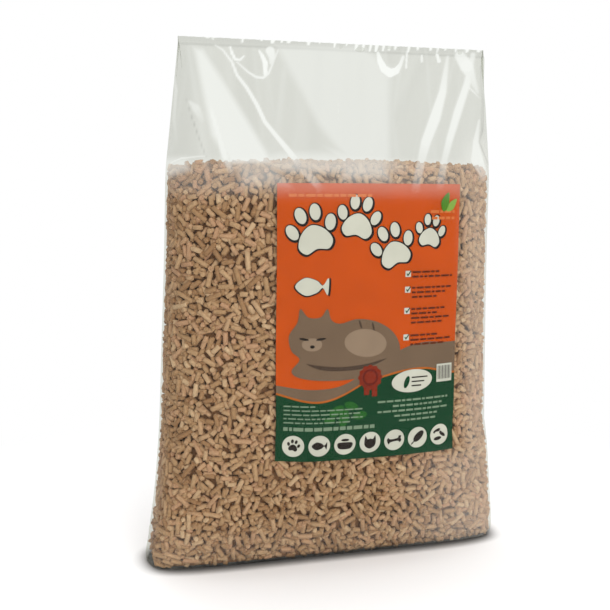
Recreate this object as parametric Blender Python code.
"""Clear gusseted bag of wood pellet cat litter, standing on its base, with a label sheet behind the film.

Sizes are in millimetres and are turned into metres when a mesh is made. The front of the bag faces -Y.
"""

import math
import random

import bpy
import numpy as np
from mathutils import Vector
from mathutils.bvhtree import BVHTree

MM = 0.001

# The tube of film that the bag is made of: two flat panels, joined by a folded gusset at each side.
PANEL_HALF = 179.0
GUSSET_HALF = 56.0
PERIMETER = 4.0 * (PANEL_HALF + GUSSET_HALF)

# The filled body, from the base up: height of each section, how far its side stands out past the flat
# panel's edge, and its half depth.
SECTIONS = (
    (0.0, 29.5, 40.0),
    (5.0, 31.0, 44.0),
    (25.0, 28.0, 54.5),
    (60.0, 22.5, 69.0),
    (150.0, 15.5, 92.0),
    (250.0, 11.5, 90.5),
    (350.0, 8.0, 89.0),
    (440.0, 6.5, 83.0),
)
BODY_TOP = SECTIONS[-1][0]
BASE_POWER = 5.2
BODY_POWER = 2.4
POWER_HEIGHT = 150.0
BASE_Y = 11.0
LEAN_X = 2.0
LEAN_Y = -22.0

# Ears: the two ends of the bottom weld, pointed at mid depth.
EAR_REACH = 4.0
EAR_HALF_DEPTH = 22.0
EAR_HEIGHT = 35.0

# The headspace, gathered into the top weld.
HEIGHT = 585.5
SEAL_BAND = 7.5
SEAL_BOTTOM = HEIGHT - SEAL_BAND
SEAL_X = 14.0
SEAL_Y = 9.0
SEAL_HALF_THICK = 0.7
SEAL_EDGE_ROUND = 1.0

# Layers, each measured inwards from the film's outer face.
FILM_WALL = 0.4
GAP = 0.3
LABEL_THICK = 0.3
LABEL_OUT = FILM_WALL + 1.5 * GAP
LABEL_IN = LABEL_OUT + LABEL_THICK
FILL_OUT = LABEL_IN + 2.0 * GAP
CAVITY_TOP = SEAL_BOTTOM - 7.0

# The label is an A4 sheet, set to the right of the panel's middle.
LABEL_WIDTH = 210.0
LABEL_HEIGHT = 297.0
LABEL_OFFSET = 23.5
LABEL_BOTTOM = 129.0

# The pellets. Those that press on the film stand out of the mass, one in each square of the pitch.
FILL_TOP = BODY_TOP + 8.0
HEAP_RISE = 7.0
HEAP_RELIEF = 2.5
FILL_RELIEF = 5.4
RELIEF_PITCH = 21.0
RELIEF_HALF_WIDTH = 8.0
PELLET_DIAMETER = 6.0
PELLET_SIDES = 8
LOOSE_PELLETS = 12
PELLET_SHORT = 12.0
PELLET_LONG = 22.0
LOOSE_SPREAD = 0.72
DROP_FROM = FILL_TOP + HEAP_RISE + 3.0 * PELLET_DIAMETER
EDGE_TESTS = 24

# Vent holes in the back panel's headspace.
VENT_RADIUS = 2.5
VENT_HEIGHT = SEAL_BOTTOM - 58.0
VENT_PITCH = 60.0
VENT_COUNT = 3
VENT_SIDES = 12
VENT_CUT_SHARE = 0.4

PANEL_STEPS = 8
GUSSET_STEPS = 4
BODY_ROWS = (0.0, 2.0, 5.0, 12.0, 25.0, 42.0, 60.0, 85.0, 105.0, 160.0, 200.0, 240.0, 280.0, 320.0, 360.0, 395.0, 440.0)
HEAD_ROWS = 6
CURVE_POINTS = 2401
FILL_COLUMNS = 104
FILL_ROWS = 50
CAP_RINGS = 5
SEED = 15

FILM_COLOUR = (0.72, 0.74, 0.70, 1.0)
PELLET_COLOUR = (0.50, 0.31, 0.18, 1.0)
LABEL_COLOUR = (0.66, 0.12, 0.03, 1.0)


def clear_scene():
    for item in list(bpy.data.objects):
        bpy.data.objects.remove(item, do_unlink=True)


def material(name, colour, roughness):
    made = bpy.data.materials.new(name)
    made.use_nodes = True
    shader = made.node_tree.nodes["Principled BSDF"]
    shader.inputs["Base Color"].default_value = colour
    shader.inputs["Roughness"].default_value = roughness
    shader.inputs["Metallic"].default_value = 0.0
    return made


def smooth_step(value):
    value = min(max(value, 0.0), 1.0)
    return value * value * (3.0 - 2.0 * value)


def section_value(z, column):
    """A size of the body at height z: straight between the low sections, and eased through the upper ones."""
    heights = [row[0] for row in SECTIONS]
    values = [row[column] for row in SECTIONS]
    slopes = np.gradient(values, heights)
    k = int(np.clip(np.searchsorted(heights, z) - 1, 0, len(heights) - 2))
    span = heights[k + 1] - heights[k]
    t = min(max((z - heights[k]) / span, 0.0), 1.0)
    start = (2 * t**3 - 3 * t**2 + 1) * values[k] + (t**3 - 2 * t**2 + t) * span * slopes[k]
    end = (3 * t**2 - 2 * t**3) * values[k + 1] + (t**3 - t**2) * span * slopes[k + 1]
    return start + end


def body_curve(z):
    """Points round the filled body at height z, closed, starting at the middle of the front and going to +X."""
    half_width = PANEL_HALF + section_value(z, 1)
    half_depth = section_value(z, 2)
    ease = min(z / POWER_HEIGHT, 1.0)
    power = BASE_POWER + (BODY_POWER - BASE_POWER) * ease
    ear = EAR_REACH * (1.0 - smooth_step(z / EAR_HEIGHT))
    turn = np.linspace(0.0, 2.0 * math.pi, CURVE_POINTS)
    across = np.sin(turn)
    along = -np.cos(turn)
    x = (half_width - ear / 2.0) * np.sign(across) * abs(across) ** (2.0 / power)
    y = half_depth * np.sign(along) * abs(along) ** (2.0 / power)
    x = x + np.sign(across) * ear * np.clip(1.0 - abs(y) / EAR_HALF_DEPTH, 0.0, 1.0)
    height_share = z / BODY_TOP
    return np.stack([x + LEAN_X * height_share**3, y + BASE_Y + LEAN_Y * height_share], axis=1)


def girth(z):
    """The length round the filled body at height z."""
    return np.hypot(*np.diff(body_curve(z), axis=0).T).sum()


def body_point(z, fraction):
    """The point of the body at height z, that share of the way round from the middle of the front."""
    curve = body_curve(z)
    steps = np.hypot(*np.diff(curve, axis=0).T)
    length = np.concatenate([[0.0], np.cumsum(steps)]) / steps.sum()
    share = np.mod(fraction, 1.0)
    return np.stack([np.interp(share, length, curve[:, 0]), np.interp(share, length, curve[:, 1])], axis=-1)


def head_point(z, fraction):
    """The point of the headspace at height z: the body's rim, drawn in to the flat top weld."""
    rim = body_point(BODY_TOP, fraction)
    share = min((z - BODY_TOP) / (SEAL_BOTTOM - BODY_TOP), 1.0)
    offset = (np.mod(fraction + 0.5, 1.0) - 0.5) * PERIMETER
    side = np.sign(offset)
    arc = abs(offset)
    on_front = np.minimum(arc, PANEL_HALF)
    on_back = np.minimum(PERIMETER / 2.0 - arc, PANEL_HALF)
    middle = PERIMETER / 4.0
    depth = np.clip((arc - middle) / GUSSET_HALF, -1.0, 1.0)
    edge = SEAL_EDGE_ROUND * (1.0 - depth * depth)
    flat_x = SEAL_X + side * (np.where(arc <= middle, on_front, on_back) + edge)
    flat_y = SEAL_Y + depth * SEAL_HALF_THICK
    return rim * (1.0 - share) + np.stack([flat_x, flat_y], axis=-1) * share


def film_point(z, fraction):
    return body_point(z, fraction) if z <= BODY_TOP else head_point(z, fraction)


def columns():
    """The share of the way round of each of the film's columns, with one on every panel edge and gusset crease."""
    panel = PANEL_HALF / PERIMETER * np.arange(PANEL_STEPS) / PANEL_STEPS
    gusset = (PANEL_HALF + GUSSET_HALF * np.arange(GUSSET_STEPS) / GUSSET_STEPS) / PERIMETER
    quarter = np.concatenate([panel, gusset])
    mirrored = np.concatenate([quarter, 0.5 - quarter[:0:-1], [0.25]])
    half = np.sort(mirrored)
    return np.sort(np.concatenate([half, 0.5 + half]))


def rows():
    head = BODY_TOP + (SEAL_BOTTOM - BODY_TOP) * (np.arange(HEAD_ROWS) + 1.0) / HEAD_ROWS
    label = [LABEL_BOTTOM, LABEL_BOTTOM + LABEL_HEIGHT]
    return list(BODY_ROWS) + label + list(head[:-1]) + [CAVITY_TOP, SEAL_BOTTOM, HEIGHT]


def inset(ring, distance):
    """The closed ring, which runs anticlockwise from above, moved inwards by that distance."""
    before = ring - np.roll(ring, 1, axis=0)
    after = np.roll(ring, -1, axis=0) - ring
    before = before / np.hypot(*before.T)[:, None]
    after = after / np.hypot(*after.T)[:, None]
    inward_before = np.stack([-before[:, 1], before[:, 0]], axis=1)
    inward_after = np.stack([-after[:, 1], after[:, 0]], axis=1)
    middle = inward_before + inward_after
    return ring + distance * 2.0 * middle / (middle * middle).sum(axis=1)[:, None]


class Film:
    """The film's outer face as a grid of straight-sided cells, so that what lies behind it follows the same faces."""

    def __init__(self):
        self.shares = columns()
        self.heights = np.array(sorted(rows()))
        self.grid = np.array([film_point(z, self.shares) for z in self.heights])

    def ring(self, z, shares, depth):
        """Points at those shares round the film at height z, set inwards by depth."""
        k = int(np.clip(np.searchsorted(self.heights, z) - 1, 0, len(self.heights) - 2))
        t = (z - self.heights[k]) / (self.heights[k + 1] - self.heights[k])
        outer = self.grid[k] * (1.0 - t) + self.grid[k + 1] * t
        inner = inset(outer, depth)
        closed = np.concatenate([self.shares, [self.shares[0] + 1.0]])
        inner = np.concatenate([inner, inner[:1]])
        share = np.mod(np.asarray(shares) - closed[0], 1.0) + closed[0]
        return np.stack([np.interp(share, closed, inner[:, 0]), np.interp(share, closed, inner[:, 1])], axis=-1)


def level(ring, z):
    return [(x, y, z) for x, y in ring]


def halves(a, b, c, d, outwards):
    """A four-sided cell as two triangles, always cut the same way, so that the layers stay parallel."""
    if outwards:
        return [(a, b, c), (a, c, d)]
    return [(c, b, a), (d, c, a)]


def band(low, high, count, outwards=True):
    """Faces between two rings of vertices that start at low and at high."""
    faces = []
    for i in range(count):
        j = (i + 1) % count
        faces += halves(low + i, low + j, high + j, high + i, outwards)
    return faces


def fan(ring, centre, count, upwards):
    """Triangles from a ring to a middle vertex."""
    faces = []
    for i in range(count):
        face = (ring + i, ring + (i + 1) % count, centre)
        faces.append(face if upwards else face[::-1])
    return faces


def mesh_object(name, vertices, faces, finish):
    mesh = bpy.data.meshes.new(name)
    mesh.from_pydata([tuple(MM * value for value in vertex) for vertex in vertices], [], faces)
    mesh.update()
    made = bpy.data.objects.new(name, mesh)
    bpy.context.scene.collection.objects.link(made)
    if finish:
        made.data.materials.append(finish)
    return made


def flat_cap(start, count, upwards):
    """Faces across a ring, joining each front vertex to the back vertex that is as far from the middle."""
    faces = []
    quarter = count // 4
    half = count // 2
    for i in range(-quarter, quarter):
        face = (i % count, (i + 1) % count, (half - i - 1) % count, (half - i) % count)
        corners = tuple(start + corner for corner in dict.fromkeys(face))
        faces.append(corners if upwards else corners[::-1])
    return faces


def bag_film(film, finish):
    """The film as a shell: outer face, inner face, a solid weld at the top, and vent holes at the back."""
    count = len(film.shares)
    vertices = []
    faces = []
    for z, ring in zip(film.heights, film.grid):
        vertices += level(ring, z)
    for k in range(len(film.heights) - 1):
        faces += band(k * count, (k + 1) * count, count)
    faces += flat_cap(0, count, False)
    faces += flat_cap((len(film.heights) - 1) * count, count, True)
    inner_start = len(vertices)
    inner_heights = [z for z in film.heights if 0.0 < z <= CAVITY_TOP]
    inner_heights = [FILM_WALL] + inner_heights
    for z in inner_heights:
        vertices += level(film.ring(z, film.shares, FILM_WALL), z)
    for k in range(len(inner_heights) - 1):
        faces += band(inner_start + k * count, inner_start + (k + 1) * count, count, False)
    faces += flat_cap(inner_start, count, True)
    faces += flat_cap(inner_start + (len(inner_heights) - 1) * count, count, False)
    made = mesh_object("bag_film", vertices, faces, finish)
    for number in range(VENT_COUNT):
        punch_vent(made, film, SEAL_X + VENT_PITCH * (number - (VENT_COUNT - 1) / 2.0))
    return made


def punch_vent(made, film, x):
    """One hole through the back panel only."""
    ring = film.ring(VENT_HEIGHT, film.shares, 0.0)
    depth = ring[:, 1].max()
    reach = VENT_CUT_SHARE * (depth - SEAL_Y)
    bpy.ops.mesh.primitive_cylinder_add(
        vertices=VENT_SIDES,
        radius=VENT_RADIUS * MM,
        depth=2.0 * reach * MM,
        location=(x * MM, depth * MM, VENT_HEIGHT * MM),
        rotation=(math.pi / 2.0, 0.0, 0.0),
    )
    cutter = bpy.context.object
    cutter.name = "vent_cutter"
    cutter.hide_render = True
    cutter.display_type = "WIRE"
    cut = made.modifiers.new("vent", "BOOLEAN")
    cut.operation = "DIFFERENCE"
    cut.solver = "EXACT"
    cut.object = cutter


def front_label(film, finish):
    """The label: a sheet that follows the film's faces, just behind them."""
    top = LABEL_BOTTOM + LABEL_HEIGHT
    ends = np.array([LABEL_OFFSET - LABEL_WIDTH / 2.0, LABEL_OFFSET + LABEL_WIDTH / 2.0])
    narrow = ends / girth(LABEL_BOTTOM)
    signed = np.mod(film.shares + 0.5, 1.0) - 0.5
    inner = [s for s in np.sort(signed) if narrow[0] < s < narrow[1]]
    up = [LABEL_BOTTOM] + [z for z in film.heights if LABEL_BOTTOM < z < top] + [top]
    wide = len(inner) + 2
    tall = len(up)
    vertices = []
    for depth in (LABEL_OUT, LABEL_IN):
        for z in up:
            left, right = ends / girth(z)
            vertices += level(film.ring(z, [left, *inner, right], depth), z)
    back = wide * tall
    faces = []
    for k in range(tall - 1):
        for i in range(wide - 1):
            corner = k * wide + i
            cell = (corner, corner + 1, corner + wide + 1, corner + wide)
            faces += halves(*cell, True)
            faces += halves(*(back + vertex for vertex in cell), False)
    rim = list(range(wide))
    rim += [k * wide + wide - 1 for k in range(1, tall)]
    rim += [(tall - 1) * wide + i for i in range(wide - 2, -1, -1)]
    rim += [k * wide for k in range(tall - 2, 0, -1)]
    for here, there in zip(rim, rim[1:] + rim[:1]):
        faces.append((there, here, back + here, back + there))
    return mesh_object("front_label", vertices, faces, finish)


def standing_pellets(chance):
    """The middle, as arc and height, and the half length along each axis of the pellets that stand out."""
    found = []
    for row in range(math.ceil(FILL_TOP / RELIEF_PITCH)):
        for column in range(round(girth(FILL_TOP) / RELIEF_PITCH)):
            arc = (column + 0.25 + 0.5 * chance.random()) * RELIEF_PITCH
            z = (row + 0.25 + 0.5 * chance.random()) * RELIEF_PITCH
            half = chance.uniform(PELLET_SHORT, PELLET_LONG) / 2.0
            turn = chance.uniform(0.0, math.pi)
            found.append((arc, z, half * math.cos(turn), half * math.sin(turn)))
    return np.array(found)


def sunk(arc, z, pellets):
    """How deep the mass lies there behind the pellets that stand out: 0 on one, FILL_RELIEF between them."""
    along = pellets[:, 2:]
    away = np.stack([arc - pellets[:, 0], z - pellets[:, 1]], axis=1)
    share = (away * along).sum(axis=1) / (along * along).sum(axis=1)
    away = away - along * np.clip(share, -1.0, 1.0)[:, None]
    nearest = np.hypot(*away.T).min()
    return FILL_RELIEF * smooth_step(nearest / RELIEF_HALF_WIDTH)


def pellet_fill(film, finish):
    """The litter as one mass: pellets stand out of its sides, and its top is a low, grainy heap."""
    chance = random.Random(SEED)
    shares = np.arange(FILL_COLUMNS) / FILL_COLUMNS
    low = FILM_WALL + GAP
    pellets = standing_pellets(chance)
    length_round = girth(FILL_TOP)
    vertices = []
    faces = []
    first = film.ring(low, shares, FILL_OUT)
    vertices += level(first, low)
    for k in range(1, FILL_ROWS):
        z = low + (FILL_TOP - low) * k / (FILL_ROWS - 1.0)
        outer = film.ring(z, shares, FILL_OUT)
        deeper = film.ring(z, shares, FILL_OUT + FILL_RELIEF)
        for share, (x, y), (in_x, in_y) in zip(shares, outer, deeper):
            t = sunk(share * length_round, z, pellets) / FILL_RELIEF
            rise = HEAP_RELIEF * (chance.random() - 0.5) if k == FILL_ROWS - 1 else 0.0
            vertices.append((x + (in_x - x) * t, y + (in_y - y) * t, z + rise))
        faces += band((k - 1) * FILL_COLUMNS, k * FILL_COLUMNS, FILL_COLUMNS)
    faces += flat_cap(0, FILL_COLUMNS, False)
    edge = film.ring(FILL_TOP, shares, FILL_OUT + FILL_RELIEF)
    middle = edge.mean(axis=0)
    for ring in range(1, CAP_RINGS):
        size = 1.0 - ring / CAP_RINGS
        rise = HEAP_RISE * (1.0 - size * size)
        for x, y in edge:
            z = FILL_TOP + rise + HEAP_RELIEF * (chance.random() - 0.5)
            vertices.append((middle[0] + (x - middle[0]) * size, middle[1] + (y - middle[1]) * size, z))
        start = (FILL_ROWS + ring - 1) * FILL_COLUMNS
        faces += band(start - FILL_COLUMNS, start, FILL_COLUMNS)
    vertices.append((middle[0], middle[1], FILL_TOP + HEAP_RISE))
    faces += fan(len(vertices) - 1 - FILL_COLUMNS, len(vertices) - 1, FILL_COLUMNS, True)
    return mesh_object("pellet_fill", vertices, faces, finish)


def prism(length):
    """Vertices and faces of one pellet lying along X, with its middle at the origin."""
    radius = PELLET_DIAMETER / 2.0
    turn = [2.0 * math.pi * (i + 0.5) / PELLET_SIDES for i in range(PELLET_SIDES)]
    vertices = [(x, radius * math.cos(a), radius * math.sin(a)) for x in (-length / 2.0, length / 2.0) for a in turn]
    faces = [tuple(range(PELLET_SIDES))[::-1], tuple(range(PELLET_SIDES, 2 * PELLET_SIDES))]
    for i in range(PELLET_SIDES):
        j = (i + 1) % PELLET_SIDES
        faces.append((i, j, j + PELLET_SIDES, i + PELLET_SIDES))
    return vertices, faces


def triangles_of(made):
    made.data.calc_loop_triangles()
    corners = [vertex.co for vertex in made.data.vertices]
    return corners, [tuple(tri.vertices) for tri in made.data.loop_triangles]


def drop_height(surface, points):
    """How far those points can fall, in metres, before the first one is a gap above the surface."""
    falls = []
    for point in points:
        hit = surface.ray_cast(point, Vector((0.0, 0.0, -1.0)))
        if hit[0] is not None:
            falls.append(hit[3])
    return min(falls) - GAP * MM


def loose_pellets(fill, finish):
    """Separate pellets that lie across the top of the heap, each dropped onto it."""
    chance = random.Random(SEED + 1)
    corners, triangles = triangles_of(fill)
    surface = BVHTree.FromPolygons(corners, triangles)
    rim = body_point(BODY_TOP, np.array([0.0, 0.25]))
    half_depth = abs(rim[0][1] - rim[1][1])
    for number in range(LOOSE_PELLETS):
        length = chance.uniform(PELLET_SHORT, PELLET_LONG)
        turn = chance.uniform(0.0, math.pi)
        column = (number // 2 + 0.5) / (LOOSE_PELLETS / 2.0) * 2.0 - 1.0
        row = -0.5 if number % 2 else 0.5
        x = column * LOOSE_SPREAD * rim[1][0] + chance.uniform(-1.0, 1.0) * PELLET_DIAMETER
        y = rim[1][1] + row * LOOSE_SPREAD * half_depth + chance.uniform(-1.0, 1.0) * PELLET_DIAMETER
        vertices, faces = prism(length)
        placed = []
        for along, across, up in vertices:
            turned_x = x + along * math.cos(turn) - across * math.sin(turn)
            turned_y = y + along * math.sin(turn) + across * math.cos(turn)
            placed.append(Vector((turned_x, turned_y, DROP_FROM + up)))
        tests = []
        for face in faces:
            loop = [placed[vertex] for vertex in face]
            for here, there in zip(loop, loop[1:] + loop[:1]):
                tests += [(here + (there - here) * k / EDGE_TESTS) * MM for k in range(EDGE_TESTS + 1)]
        fall = drop_height(surface, tests) / MM
        resting = [(point.x, point.y, point.z - fall) for point in placed]
        mesh_object(f"loose_pellet_{number + 1:02d}", resting, faces, finish)


def main():
    clear_scene()
    film_finish = material("film", FILM_COLOUR, 0.15)
    pellet_finish = material("pellets", PELLET_COLOUR, 0.8)
    label_finish = material("label", LABEL_COLOUR, 0.4)
    film = Film()
    bag_film(film, film_finish)
    front_label(film, label_finish)
    fill = pellet_fill(film, pellet_finish)
    loose_pellets(fill, pellet_finish)


main()
